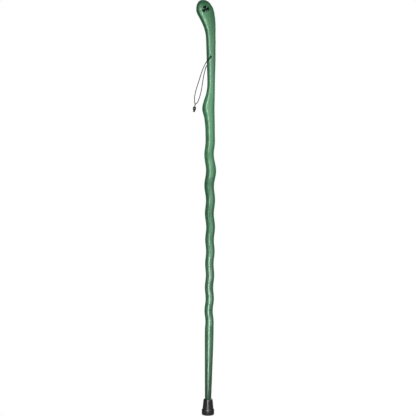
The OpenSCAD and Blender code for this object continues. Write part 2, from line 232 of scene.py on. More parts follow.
# The camera's sensor in millimetres, the white behind the staff, and the floor with its tones and clearness
SENSOR_WIDTH = 36
SKY_BEHIND = (0.88, 0.98)
FLOOR_SIZE = 80
FLOOR_FAR_OFF = (0.4, 1.5)
FLOOR_BEHIND = (0.3, 1.2)
FLOOR_TONE = 0.12
FLOOR_PALER = 0.68
FLOOR_CLEAR = 0.94
CLEAR_TONE = (1.03, 1.03, 1.03, 1)


# Settings


def colour_setting(name, description, default):
    """A colour that a user may change."""
    return FloatVectorProperty(
        name=name, description=description, default=default, subtype="COLOR", size=3, min=0, max=1
    )


def length_setting(name, description, default):
    """A length in metres that a user may change."""
    return FloatProperty(
        name=name, description=description, default=default, min=0, precision=4, unit="LENGTH"
    )


def share_setting(name, description, default):
    """A share from 0 to 1 that a user may change."""
    return FloatProperty(
        name=name, description=description, default=default, min=0, max=1, subtype="FACTOR"
    )


def power_setting(name, description, default):
    """A lamp's power in watts that a user may change."""
    return FloatProperty(name=name, description=description, default=default, min=0, unit="POWER")


class StaffWood(PropertyGroup):
    """The carved wood and its stain"""

    sides: IntProperty(
        name="Sides", description="Points round each section of the wood", default=40, min=16, max=96
    )
    light_stain: colour_setting("Light stain", "Stain on the pale wood of a ring", (0.055, 0.215, 0.092))
    deep_stain: colour_setting("Deep stain", "Stain on the dense wood of a ring", (0.020, 0.106, 0.042))
    grey_stain: colour_setting(
        "Grey stain", "Stain on the hard streaks that take less", (0.090, 0.182, 0.100)
    )
    sheen: colour_setting(
        "Sheen", "Colour of the light that the stained fibres throw back", (0.5, 1, 0.65)
    )
    bare_wood: colour_setting("Bare wood", "The turned foot inside the ferrule", (0.42, 0.30, 0.17))
    ring_spacing: length_setting("Ring spacing", "Width of a growth ring", 2.8 * MM)
    lacquer: share_setting("Lacquer", "How much of the lacquer's gloss shows", 1)
    lacquer_roughness: share_setting("Lacquer roughness", "Softness of the lacquer's highlight", 0.26)


class StaffCord(PropertyGroup):
    """The wrist cord, its bead and its knot"""

    diameter: length_setting("Diameter", "Diameter of the braid over its plaits", 2.8 * MM)
    pitch: length_setting("Pitch", "Length in which a plait goes once round the cord", 9 * MM)
    plaits: IntProperty(name="Plaits", description="Plaits that turn each way", default=6, min=3, max=12)
    # The braid's black yarn, shown with painted shade between the plaits and with a painted sheen on top of
    # them
    yarn_in_painted_shade: colour_setting("Dark yarn", "Colour between the plaits", (0.003, 0.003, 0.004))
    yarn_in_painted_sheen: colour_setting("Light yarn", "Colour on top of the plaits", (0.014, 0.013, 0.014))
    bead_colour: colour_setting("Bead", "Colour of the bead", (0.010, 0.009, 0.009))


class StaffRubber(PropertyGroup):
    """The ferrule"""

    rubber: colour_setting("Rubber", "Colour of the rubber", (0.011, 0.010, 0.010))
    dust: colour_setting("Dust", "Colour of the dust on the sole", (0.11, 0.10, 0.09))
    seam: length_setting("Seam", "Height of the moulding seam", 0.25 * MM)
    sides: IntProperty(
        name="Sides", description="Points round the ferrule", default=96, min=24, max=160
    )


class StaffStage(PropertyGroup):
    """The camera and the light"""

    distance: length_setting("Distance", "From the camera to the staff", 2.6)
    height: length_setting("Height", "Height of the camera", 0.6958)
    aside: length_setting("Aside", "How far the camera stands to the left", 0.00567)
    frame_height: length_setting("Frame", "Height of the picture at the staff", 1.40275)
    lean: FloatProperty(
        name="Lean", description="Lean of the staff in the picture", default=math.radians(0.487),
        subtype="ANGLE",
    )
    key_power: power_setting("Key", "Power of the lamp on the right, which leaves no highlight", 15)
    fill_power: power_setting("Fill", "Power of the wide, soft lamp on the right", 5.9)
    strip_power: power_setting("Strip", "Power of the strip lamp beside the grip", 2)
    middle_strip_power: power_setting("Middle strip", "Power of the strip lamp beside the shaft", 0.13)
    low_strip_power: power_setting("Low strip", "Power of the strip lamp beside the foot", 0.78)
    back_power: power_setting("Back", "Power of the lamp behind", 24)
    side_power: power_setting(
        "Side", "Power of the lamp behind on the left, which leaves no highlight", 16
    )
    ambient: share_setting("Ambient", "Light from all round", 0.08)


# Shader sums


class Wire:
    """One socket in a material, with the sums that a finish is made of."""

    def __init__(self, tree, socket):
        self.tree = tree
        self.socket = socket

    def node(self, kind, settings=None, sockets=None, out=0):
        """Adds a node, sets it, feeds its sockets with values or wires, and returns one of its outputs."""
        made = self.tree.nodes.new("ShaderNode" + kind)
        for name, value in (settings or {}).items():
            setattr(made, name, value)
        for key, value in (sockets or {}).items():
            if isinstance(value, Wire):
                self.tree.links.new(value.socket, made.inputs[key])
            else:
                made.inputs[key].default_value = value
        return Wire(self.tree, made.outputs[out]) if made.outputs else None

    def output(self, name):
        """Another output of the same node."""
        return Wire(self.tree, self.socket.node.outputs[name])

    def sum(self, operation, *values):
        """A Math node on these values or wires."""
        return self.node("Math", {"operation": operation}, dict(enumerate(values)))

    def __add__(self, other):
        return self.sum("ADD", self, other)

    __radd__ = __add__

    def __sub__(self, other):
        return self.sum("SUBTRACT", self, other)

    def __rsub__(self, other):
        return self.sum("SUBTRACT", other, self)

    def __mul__(self, other):
        return self.sum("MULTIPLY", self, other)

    __rmul__ = __mul__

    def __truediv__(self, other):
        return self.sum("DIVIDE", self, other)

    def __rtruediv__(self, other):
        return self.sum("DIVIDE", other, self)

    def __pow__(self, other):
        return self.sum("POWER", self, other)

    def __rpow__(self, other):
        return self.sum("POWER", other, self)

    def fade(self, low, high):
        """0 at low and 1 at high, eased at both ends."""
        return self.node(
            "MapRange",
            {"interpolation_type": "SMOOTHSTEP"},
            {"Value": self, "From Min": low, "From Max": high},
        )

    def tint(self, low, high):
        """A colour from low to high by this share."""
        return self.node("Mix", {"data_type": "RGBA"}, {0: self, 6: low, 7: high}, 2)

    def scaled(self, share):
        """This colour, lighter or darker by a share."""
        return self.node("VectorMath", {"operation": "SCALE"}, {0: self, "Scale": share})

    def noise(self, scale, stretch=(1, 1, 1), detail=2, roughness=0.5):
        """Soft noise at this place, finer along an axis with a larger stretch."""
        spot = self.node("Mapping", None, {"Vector": self, "Scale": stretch})
        return spot.node(
            "TexNoise", None, {"Vector": spot, "Scale": scale, "Detail": detail, "Roughness": roughness}
        )

    def bump(self, strength, distance):
        """A normal that follows this height."""
        return self.node("Bump", None, {"Height": self, "Strength": strength, "Distance": distance})


def start_finish(name, coordinates="Object"):
    """A new material, and a wire to the place on the piece."""
    finish = bpy.data.materials.new(name)
    finish.use_nodes = True
    tree = finish.node_tree
    tree.nodes.clear()
    return finish, Wire(tree, tree.nodes.new("ShaderNodeTexCoord").outputs[coordinates])


def end_finish(place, sockets):
    """Feeds the shader and the material's output."""
    shader = place.node("BsdfPrincipled", None, sockets)
    place.node("OutputMaterial", None, {"Surface": shader})


def opaque(colour):
    """A setting's colour with its alpha."""
    return (*colour, 1)


# Finishes


def stained_wood(look):
    """Green stain on open-grained wood under lacquer, with the rings running up the staff."""
    finish, place = start_finish("stained_wood")
    across = place.node("SeparateXYZ", None, {0: place})
    y = across.output("Y")
    z = across.output("Z")

    def grain(scale, along, detail=2, roughness=0.5):
        """Noise that is drawn out along the staff."""
        return place.noise(scale, (1, 1, along), detail, roughness)

    sway = grain(9, 0.3) * 0.022 + grain(70, 0.06) * 0.0022
    from_middle = ((across - RING_MIDDLE[0]) ** 2 + (y - RING_MIDDLE[1]) ** 2) ** 0.5 + sway
    ring = from_middle / look.ring_spacing
    turn = ring.sum("FRACT", ring)
    dense = turn.fade(0.3, 0.88) * (1 - turn.fade(0.88, 1))
    streak = grain(95, 0.045, 3, 0.55).fade(0.5, 0.72)
    cloud = grain(24, 0.22).fade(0.3, 0.7)
    fibre = grain(1100, 0.012, 2, 0.6)
    pore = grain(1500, 0.028, 1).fade(0.56, 0.68) * (1 - dense)

    pale_grip = z.fade(*GRIP_PALE_FROM) * (1 - z.fade(*GRIP_PALE_TO))
    pale_shaft = z.fade(*SHAFT_PALE_FROM) * (1 - z.fade(*SHAFT_PALE_TO))
    painted_foot_shade = z.fade(*FOOT_PAINTED_SHADE)
    head = z.fade(*HEAD_FROM)
    bare = z.fade(*BARE_BELOW)
    # Paler at the grip and in the middle of the shaft, darker at the head, and darker towards the foot as
    # painted shade near the floor
    tone = 0.85 + pale_grip * 0.4 + pale_shaft * 0.1 - head * 0.1 - painted_foot_shade * 0.45
    worn = z.fade(*LACQUER_WORN) * 0.45 + head * 0.33

    depth = dense * 0.55 + cloud * 0.3 + fibre * 0.25
    stain = depth.tint(opaque(look.light_stain), opaque(look.deep_stain))
    stain = (streak * (0.35 + cloud * 0.45)).tint(stain, opaque(look.grey_stain))
    # The stained colour is scaled by this tone, so it carries the painted shade towards the foot
    stain = (pore * 0.5).tint(stain, PORE_TONE).scaled(tone)
    height = fibre * 0.35 - pore
    end_finish(
        place,
        {
            "Base Color": bare.tint(stain, opaque(look.bare_wood)),
            "Roughness": 0.44 + fibre * 0.14 + bare * 0.1 - head * 0.14,
            "IOR": 1.75,
            "Specular IOR Level": 1,
            "Specular Tint": opaque(look.sheen),
            "Coat Weight": (1 - bare) * (1 - worn) * look.lacquer,
            "Coat Roughness": look.lacquer_roughness,
            "Coat IOR": 2.1,
            "Normal": height.bump(strength=0.22, distance=0.15 * MM),
        },
    )
    return finish


def black_inlay():
    """Black inlay, duller than the lacquer round it."""
    finish, place = start_finish("black_inlay")
    swirl = place.noise(900, (1, 1, 0.4), 3)
    end_finish(
        place,
        {
            "Base Color": swirl.tint(*INLAY_TONES),
            "Roughness": 0.4 + swirl * 0.2,
            "Specular IOR Level": 0.1,
            "Normal": swirl.bump(strength=0.1, distance=0.05 * MM),
        },
    )
    return finish


def braided_cord(look):
    """Black braid: painted shade between the plaits, and a painted sheen on top of them."""
    finish, place = start_finish("braided_cord", "UV")
    across = place.node("SeparateXYZ", None, {0: place})
    round_share = across * look.plaits
    along = across.output("Y") * (look.plaits * UV_LENGTH / look.pitch)
    left = (round_share + along) * math.pi
    right = (round_share - along) * math.pi
    weave = left.sum("SINE", left) * right.sum("SINE", right)
    crown = weave.sum("ABSOLUTE", weave)
    fuzz = place.noise(60, (30, 20, 1))
    # Lighter on the crowns of the plaits: a painted sheen on top and painted shade between them; the fuzz is
    # the yarn's own uneven tone
    light = crown * 0.75 + fuzz * 0.35
    end_finish(
        place,
        {
            "Base Color": light.tint(opaque(look.yarn_in_painted_shade), opaque(look.yarn_in_painted_sheen)),
            "Roughness": 0.5 + fuzz * 0.25,
            "Specular IOR Level": 0.25,
            "Normal": fuzz.bump(strength=0.3, distance=0.04 * MM),
        },
    )
    return finish


def polished_bead(look):
    """Polished black bead with fine turning marks."""
    finish, place = start_finish("polished_bead")
    marks = place.noise(1600, (0.2, 0.2, 1))
    end_finish(
        place,
        {
            "Base Color": marks.tint(opaque(look.bead_colour), BEAD_MARKS_TONE),
            "Roughness": 0.16 + marks * 0.12,
            "Coat Weight": 0.5,
            "Coat Roughness": 0.08,
            "Normal": marks.bump(strength=0.08, distance=0.03 * MM),
        },
    )
    return finish


def moulded_rubber(look):
    """Satin black rubber, finely pitted, with a little dust on the sole."""
    finish, place = start_finish("moulded_rubber")
    z = place.node("SeparateXYZ", None, {0: place}).output("Z")
    bloom = place.noise(110, (1, 1, 0.6), 4, 0.6)
    pits = place.noise(2400)
    dust = (1 - z.fade(0, DUST_HIGH)) * bloom.fade(0.42, 0.7)
    rubber = (bloom * 0.8).tint(opaque(look.rubber), BLOOM_TONE)
    end_finish(
        place,
        {
            "Base Color": (dust * 0.55).tint(rubber, opaque(look.dust)),
            "Roughness": 0.25 + bloom * 0.1 + dust * 0.3,
            "IOR": 1.7,
            "Specular IOR Level": 1,
            "Normal": (pits * 0.5 + bloom * 0.3).bump(strength=0.25, distance=0.12 * MM),
        },
    )
    return finish


def plain_steel():
    """Plain steel with turning marks round the middle."""
    finish, place = start_finish("plain_steel")
    across = place.node("SeparateXYZ", None, {0: place})
    reach = (across**2 + across.output("Y") ** 2) ** 0.5
    spot = place.node("CombineXYZ", None, {"X": reach})
    marks = spot.noise(4200)
    stain = place.noise(160, detail=3)
    end_finish(
        place,
        {
            "Base Color": stain.tint(*STEEL_TONES),
            "Metallic": 1,
            "Roughness": 0.26 + marks * 0.2 + stain * 0.1,
            "Normal": marks.bump(strength=0.15, distance=0.05 * MM),
        },
    )
    return finish


# Modelling


def deselect_all():
    """Nothing is selected or active, and no mesh is being edited."""
    if bpy.context.object and bpy.context.object.mode != "OBJECT":
        bpy.ops.object.mode_set(mode="OBJECT")
    bpy.ops.object.select_all(action="DESELECT")
    bpy.context.view_layer.objects.active = None


def take(*pieces):
    """Selects these pieces, with the first active."""
    deselect_all()
    for piece in pieces:
        piece.select_set(True)
    bpy.context.view_layer.objects.active = pieces[0]
    return pieces[0]


def ring_stack(name, rings, sides, hollow=False):
    """Raises a stack of rings from one circle. Each ring is its middle, half width and half depth. A hollow
    stack is joined from its last ring to its first, and another is closed at both ends."""
    deselect_all()
    middle, wide, deep = rings[0]
    bpy.ops.mesh.primitive_circle_add(
        vertices=sides, radius=1, fill_type="NOTHING" if hollow else "NGON", location=(0, 0, 0)
    )
    piece = bpy.context.object
    piece.name = piece.data.name = name
    bpy.ops.object.mode_set(mode="EDIT")
    bpy.ops.mesh.select_all(action="SELECT")
    bpy.ops.transform.resize(value=(wide, deep, 1), center_override=(0, 0, 0))
    bpy.ops.transform.translate(value=middle)
    for (low, low_wide, low_deep), (high, high_wide, high_deep) in zip(rings, rings[1:]):
        bpy.ops.mesh.extrude_region_move(TRANSFORM_OT_translate={"value": high - low})
        bpy.ops.transform.resize(
            value=(high_wide / low_wide, high_deep / low_deep, 1), center_override=high
        )
    if hollow:
        bpy.ops.mesh.select_all(action="DESELECT")
        bpy.ops.mesh.select_non_manifold(extend=False)
        bpy.ops.mesh.bridge_edge_loops()
    bpy.ops.mesh.select_all(action="SELECT")
    bpy.ops.mesh.normals_make_consistent(inside=False)
    bpy.ops.object.mode_set(mode="OBJECT")
    return piece


def turned(name, profile, sides, hollow=False):
    """A turned piece about Z from a profile of radius and height."""
    return ring_stack(name, [(Vector((0, 0, z)), r, r) for r, z in profile], sides, hollow)


def arc(middle, radius, start, end, steps):
    """Points of an arc in a profile, with its angles in degrees."""
    angles = [math.radians(start + (end - start) * i / steps) for i in range(steps + 1)]
    return [(middle[0] + radius * math.cos(a), middle[1] + radius * math.sin(a)) for a in angles]


def settle(piece, matrix):
    """Puts a piece in place and leaves its object at the origin."""
    take(piece)
    piece.matrix_world = matrix
    bpy.ops.object.transform_apply(location=True, rotation=True, scale=True)
    return piece


def modify(piece, kind, **settings):
    """Adds a modifier and applies it."""
    take(piece)
    modifier = piece.modifiers.new(kind.title(), kind)
    for key, value in settings.items():
        setattr(modifier, key, value)
    bpy.ops.object.modifier_apply(modifier=modifier.name)
    return piece


def copy_of(piece, name):
    """A copy of a piece with its own mesh."""
    copy = piece.copy()
    copy.data = piece.data.copy()
    copy.name = copy.data.name = name
    bpy.context.scene.collection.objects.link(copy)
    return copy


def cut(piece, tool, operation="DIFFERENCE"):
    """Cuts a piece with a tool, joins them or keeps what they share, and throws the tool away."""
    modify(piece, "BOOLEAN", operation=operation, object=tool, solver="EXACT")
    bpy.data.objects.remove(tool, do_unlink=True)
    return piece


def smooth(piece, angle):
    """Smooth shading, with edges sharper than the angle, in degrees, left crisp."""
    take(piece)
    bpy.ops.object.shade_smooth_by_angle(angle=math.radians(angle))
    return piece


def dress(piece, finish, body, node):
    """Gives a piece its finish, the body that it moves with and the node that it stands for."""
    piece.data.materials.clear()
    piece.data.materials.append(finish)
    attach(piece, body)
    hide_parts(node)
    return piece


# Cord


def from_millimetres(points, start=Vector((0, 0, 0))):
    """Points given in millimetres from a start."""
    return [start + Vector(point) * MM for point in points]


def smooth_route(points):
    """A smooth line through the points, cut to even steps."""
    ends = [points[0] * 2 - points[1], *points, points[-1] * 2 - points[-2]]
    fine = []
    for a, b, c, d in zip(ends, ends[1:], ends[2:], ends[3:]):
        for i in range(ROUTE_STEPS):
            t = i / ROUTE_STEPS
            slope = (c - a) * t
            bend = (2 * a - 5 * b + 4 * c - d) * t**2
            swing = (3 * b - a - 3 * c + d) * t**3
            fine.append(0.5 * (2 * b + slope + bend + swing))
    fine.append(points[-1])
    lengths = [0]
    for a, b in zip(fine, fine[1:]):
        lengths.append(lengths[-1] + (b - a).length)
    count = max(2, round(lengths[-1] / CORD_STEP))
    route = []
    i = 0
    for k in range(count + 1):
        at = lengths[-1] * k / count
        while i < len(fine) - 2 and lengths[i + 1] < at:
            i += 1
        span = lengths[i + 1] - lengths[i]
        route.append(fine[i].lerp(fine[i + 1], (at - lengths[i]) / span if span else 0))
    return route


def route_length(route):
    """Length of a route from end to end."""
    return sum((b - a).length for a, b in zip(route, route[1:]))


def braided_tube(name, route, look, cut_end=False):
    """A round braid along a route: a tube whose plaits stand out, unrolled on its own map. A cut end is
    rounded off."""
    radius = look.diameter / 2
    last = len(route) - 1
    step = route_length(route) / last
    points = []
    spoke = Vector((1, 0, 0))
    for i, at in enumerate(route):
        heading = (route[min(i + 1, last)] - route[max(i - 1, 0)]).normalized()
        spoke = (spoke - spoke.dot(heading) * heading).normalized()
        across = heading.cross(spoke)
        along = look.plaits * i * step / look.pitch
        to_end = (last - i) * step
        close = 1
        if cut_end and to_end < radius:
            close = max(CUT_END, math.sqrt(max(0, 1 - (1 - to_end / radius) ** 2)))
        for j in range(CORD_SIDES):
            share = look.plaits * j / CORD_SIDES
            crown = abs(math.sin(math.pi * (share + along)) * math.sin(math.pi * (share - along)))
            reach = radius * close * (1 - BRAID_RELIEF + CROWN_REACH * BRAID_RELIEF * crown)
            angle = 2 * math.pi * j / CORD_SIDES
            points.append(at + reach * (math.cos(angle) * spoke + math.sin(angle) * across))
    faces = []
    places = []
    for i in range(last):
        low = i * step / UV_LENGTH
        high = (i + 1) * step / UV_LENGTH
        for j in range(CORD_SIDES):
            a = i * CORD_SIDES + j
            b = i * CORD_SIDES + (j + 1) % CORD_SIDES
            faces.append((a, b, b + CORD_SIDES, a + CORD_SIDES))
            left = j / CORD_SIDES
            right = (j + 1) / CORD_SIDES
            places += [left, low, right, low, right, high, left, high]
    for ring in (range(CORD_SIDES - 1, -1, -1), range(last * CORD_SIDES, (last + 1) * CORD_SIDES)):
        faces.append(tuple(ring))
        places += [0.5, 0.0] * CORD_SIDES
    mesh = bpy.data.meshes.new(name)
    mesh.from_pydata(points, [], faces)
    mesh.uv_layers.new(name="along").data.foreach_set("uv", places)
    piece = bpy.data.objects.new(name, mesh)
    bpy.context.scene.collection.objects.link(piece)
    return smooth(piece, angle=60)


# Operators


class STAFF_OT_stage(Operator):
    """Set up the camera, the lamps, the floor and the pale surroundings"""

    bl_idname = "hiking_staff.stage"
    bl_label = "Stage"

    def execute(self, context):
        look = context.scene.staff_stage
        deselect_all()
        context.scene.view_settings.view_transform = "Standard"
        self.camera(context, look)
        self.surroundings(context, look)
        self.floor()
        for name, size, place, aim in LAMPS:
            lamp = self.lamp(name + "_lamp", getattr(look, name + "_power"), size, place, aim)
            lamp.visible_glossy = name not in LAMPS_WITHOUT_HIGHLIGHT
        return {"FINISHED"}

    def camera(self, context, look):
        """The camera in front of the staff, with the lens that gives the frame its height there."""
        bpy.ops.object.camera_add(
            location=(-look.aside, -look.distance, look.height), rotation=(math.pi / 2, -look.lean, 0)
        )
        camera = context.object
        camera.name = "camera"
        camera.data.sensor_width = SENSOR_WIDTH
        camera.data.lens = SENSOR_WIDTH * look.distance / look.frame_height
        context.scene.camera = camera

    def seen_white(self, tree, behind):
        """1 for what the camera sees, and behind the staff also for what shows in gloss and through glass."""
        camera = Wire(tree, tree.nodes.new("ShaderNodeLightPath").outputs["Is Camera Ray"])
        clear = camera.sum("MAXIMUM", camera.output("Is Glossy Ray"), camera.output("Is Transmission Ray"))
        return camera.sum("MAXIMUM", camera, clear * behind)

    def surroundings(self, context, look):
        """Dim light from all round, and white to look at."""
        world = bpy.data.worlds.new("pale_surroundings")
        world.use_nodes = True
        tree = world.node_tree
        tree.nodes.clear()
        place = Wire(tree, tree.nodes.new("ShaderNodeTexCoord").outputs["Generated"])
        behind = place.node("SeparateXYZ", None, {0: place}).output("Y").fade(*SKY_BEHIND)
        white = self.seen_white(tree, behind)
        strength = white * (1 - look.ambient) + look.ambient
        sky = white.node("Background", None, {"Color": (1, 1, 1, 1), "Strength": strength})
        white.node("OutputWorld", None, {"Surface": sky})
        context.scene.world = world

    def floor(self):
        """A pale floor that keeps some of the staff's shadow. To the eye it is nearly clear before the white
        surroundings, and wholly so from below, so that a ferrule that is pulled off still shows."""
        bpy.ops.mesh.primitive_plane_add(size=FLOOR_SIZE, location=(0, 0, 0))
        floor = bpy.context.object
        floor.name = "floor"
        finish, place = start_finish("pale_floor")
        across = place.node("SeparateXYZ", None, {0: place})
        y = across.output("Y")
        far_off = ((across**2 + y**2) ** 0.5).fade(*FLOOR_FAR_OFF)
        white = self.seen_white(finish.node_tree, y.fade(*FLOOR_BEHIND))
        matt = white.node("BsdfDiffuse", None, {"Color": white * FLOOR_PALER + FLOOR_TONE})
        clear = white.node("BsdfTransparent", None, {"Color": CLEAR_TONE})
        below = white.node("NewGeometry", out="Backfacing")
        share = white.sum("MAXIMUM", white * (far_off * (1 - FLOOR_CLEAR) + FLOOR_CLEAR), below)
        mixed = white.node("MixShader", None, {0: share, 1: matt, 2: clear})
        white.node("OutputMaterial", None, {"Surface": mixed})
        floor.data.materials.append(finish)

    def lamp(self, name, power, size, place, aim):
        """A flat lamp that lights the staff and isn't seen itself."""
        bpy.ops.object.light_add(type="AREA", location=place)
        lamp = bpy.context.object
        lamp.name = name
        lamp.rotation_euler = (Vector(aim) - Vector(place)).to_track_quat("-Z", "Y").to_euler()
        lamp.data.shape = "RECTANGLE"
        lamp.data.size, lamp.data.size_y = size
        lamp.data.energy = power
        lamp.visible_camera = False
        return lamp


class STAFF_OT_bead(Operator):
    """Turn the bead that gathers the two strands of the wrist cord"""

    bl_idname = "hiking_staff.bead"
    bl_label = "Bead"

    def execute(self, context):
        bead = turned("bead", self.profile(), BEAD_SIDES, hollow=True)
        settle(smooth(bead, angle=50), ON_LOOP)
        dress(bead, polished_bead(context.scene.staff_cord), "bead", "cord_bead")
        return {"FINISHED"}

    def profile(self):
        """From the eased lower edge of the bore out over the belly and in to its upper edge."""
        lip = [
            (BEAD_BORE, 2 * BEAD_EASE),
            (BEAD_BORE + 0.3 * BEAD_EASE, 0.4 * BEAD_EASE),
            (BEAD_BORE + BEAD_EASE, 0),
        ]
        belly = []
        for i in range(1, BEAD_STEPS):
            turn = math.pi * (i / BEAD_STEPS - 0.5)
            radius = BEAD_END + (BEAD_BELLY - BEAD_END) * math.cos(turn)
            height = (BEAD_LOW + BEAD_HIGH) / 2 + (BEAD_HIGH - BEAD_LOW) / 2 * math.sin(turn)
            belly.append((radius, height))
        lower = [(r, BEAD_LOW + z) for r, z in lip]
        upper = [(r, BEAD_HIGH - z) for r, z in reversed(lip)]
        return lower + belly + upper


class STAFF_OT_knot(Operator):
    """Tie the stopper knot under the bead, with its two cut ends"""

    bl_idname = "hiking_staff.knot"
    bl_label = "Stopper knot"

    def execute(self, context):
        look = context.scene.staff_cord
        strands = [
            braided_tube(f"knot_strand_{i}", smooth_route(route), look, cut_end=True)
            for i, route in enumerate((self.coil(), from_millimetres(KNOT_CORE)))
        ]
        knot = take(*strands)
        bpy.ops.object.join()
        knot.name = knot.data.name = "knot"
        settle(knot, ON_LOOP)
        dress(knot, braided_cord(look), "wrist_loop", "cord_knot")
        return {"FINISHED"}

    def coil(self):
        """The strand that winds down round the other, and out under it to its cut end."""
        turns = []
        for i in range(COIL_STEPS + 1):
            t = i / COIL_STEPS
            angle = math.radians(COIL_START + 360 * COIL_TURNS * t)
            reach = COIL_RADIUS * min(1, COIL_TIGHT + COIL_LOOSENS * t)
            z = COIL_TOP + (COIL_FOOT - COIL_TOP) * t
            turns.append(Vector((reach * math.cos(angle), reach * math.sin(angle), z)))
        return from_millimetres(COIL_ENTRY) + turns + from_millimetres(COIL_TAIL)


class STAFF_OT_wrist_cord(Operator):
    """Hang the two strands of the wrist cord from the hole in the grip"""

    bl_idname = "hiking_staff.wrist_cord"
    bl_label = "Wrist cord"

    def execute(self, context):
        look = context.scene.staff_cord
        finish = braided_cord(look)
        gathered = [bpy.data.objects["bead"], bpy.data.objects["knot"]]
        for name, node, points, side, pieces in (
            ("front_strand", "wrist_cord_front", FRONT_ROUTE, -1, gathered),
            ("rear_strand", "wrist_cord_rear", REAR_ROUTE, 1, []),
        ):
            route = smooth_route(from_millimetres(points, HOLE))
            strand = braided_tube(name, route, look)
            dress(strand, finish, "wrist_loop", node)
            route_length(route)
        return {"FINISHED"}


class STAFF_OT_carved_staff(Operator):
    """Carve the staff from the sections of its solid, and bore the hole for the cord"""

    bl_idname = "hiking_staff.carved_staff"
    bl_label = "Carved staff"

    def execute(self, context):
        look = context.scene.staff_wood
        sections = self.sections()
        rings = self.foot() + [(middle, wide, deep) for middle, wide, deep, square in sections]
        staff = ring_stack("carved_staff", rings, look.sides)
        self.square_off(staff, sections)
        modify(staff, "SUBSURF", levels=1, render_levels=1)
        cut(staff, self.hole())
        smooth(staff, angle=35)
        dress(staff, stained_wood(look), "staff", "staff")
        return {"FINISHED"}

    def sections(self):
        """Middle, half width, half depth and squareness of each section of the staff's solid. Above the
        waist it is alike in front and behind, so its back stands for the front, which the recess cuts."""
        levels = {}
        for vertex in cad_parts["staff"].data.vertices:
            levels.setdefault(round(vertex.co.z, HEIGHT_DIGITS), []).append(vertex.co)
        sections = []
        for height in sorted(levels):
            points = levels[height]
            below = height < SHOULDER - MM
            if below or len(points) < FULL_SECTION or abs(height - HOLE.z) < HOLE_ROOM:
                continue
            left = min(p.x for p in points)
            right = max(p.x for p in points)
            back = max(p.y for p in points)
            front = min(p.y for p in points) if height < WAIST else -back
            middle = Vector(((left + right) / 2, (front + back) / 2, height))
            wide = (right - left) / 2
            deep = (back - front) / 2
            corner = max(abs(p.x - middle.x) / wide + (p.y - middle.y) / deep for p in points)
            square = math.log(0.5) / math.log(corner / 2)
            sections.append((middle, wide, deep, square))
        return sections

    def foot(self):
        """Rings of the turned foot, up to the shoulder under the shaft."""
        turned_rings = [
            (FOOT_RADIUS - 3 * FOOT_BEVEL, FOOT_LOW),
            (FOOT_RADIUS - FOOT_BEVEL, FOOT_LOW),
            (FOOT_RADIUS - FOOT_BEVEL * 0.7, FOOT_LOW + FOOT_BEVEL * 0.3),
            (FOOT_RADIUS, FOOT_LOW + FOOT_BEVEL),
            (FOOT_RADIUS, FOOT_LOW + 2 * FOOT_BEVEL),
            (FOOT_RADIUS, SHOULDER - 4 * SHOULDER_EASE),
            (FOOT_RADIUS, SHOULDER - SHOULDER_EASE),
            (FOOT_RADIUS + SHOULDER_EASE, SHOULDER - SHOULDER_DROP),
            (SHAFT_RADIUS - SHOULDER_EASE, SHOULDER - SHOULDER_DROP),
        ]
        return [(Vector((0, 0, z)), r, r) for r, z in turned_rings]

    def square_off(self, staff, sections):
        """Moves the points of each round section out to its squarer form."""
        by_height = {round(section[0].z, HEIGHT_DIGITS): section for section in sections}
        for vertex in staff.data.vertices:
            found = by_height.get(round(vertex.co.z, HEIGHT_DIGITS))
            if found:
                middle, wide, deep, square = found
                for axis, half in ((0, wide), (1, deep)):
                    share = (vertex.co[axis] - middle[axis]) / half
                    squared = math.copysign(min(abs(share), 1) ** (2 / square), share)
                    vertex.co[axis] = middle[axis] + half * squared

    def hole(self):
        """The tool that bores the hole for the cord and eases both of its mouths."""
        flare = MOUTH_RADIUS - HOLE_RADIUS
        eased = []
        for i in range(MOUTH_STEPS + 1):
            turn = math.radians(90 * i / MOUTH_STEPS)
            radius = HOLE_RADIUS + flare * (1 - math.cos(turn))
            eased.append((radius, GRIP_HALF - MOUTH_DEPTH + MOUTH_DEPTH * math.sin(turn)))
        wider, further = MOUTH_OVERRUN
        eased.append((MOUTH_RADIUS + wider, GRIP_HALF + further))
        profile = [(r, -z) for r, z in reversed(eased)] + eased
        tool = turned("hole_tool", profile, HOLE_SIDES)
        return settle(tool, Matrix.Translation(HOLE) @ Matrix.Rotation(math.pi / 2, 4, "X"))


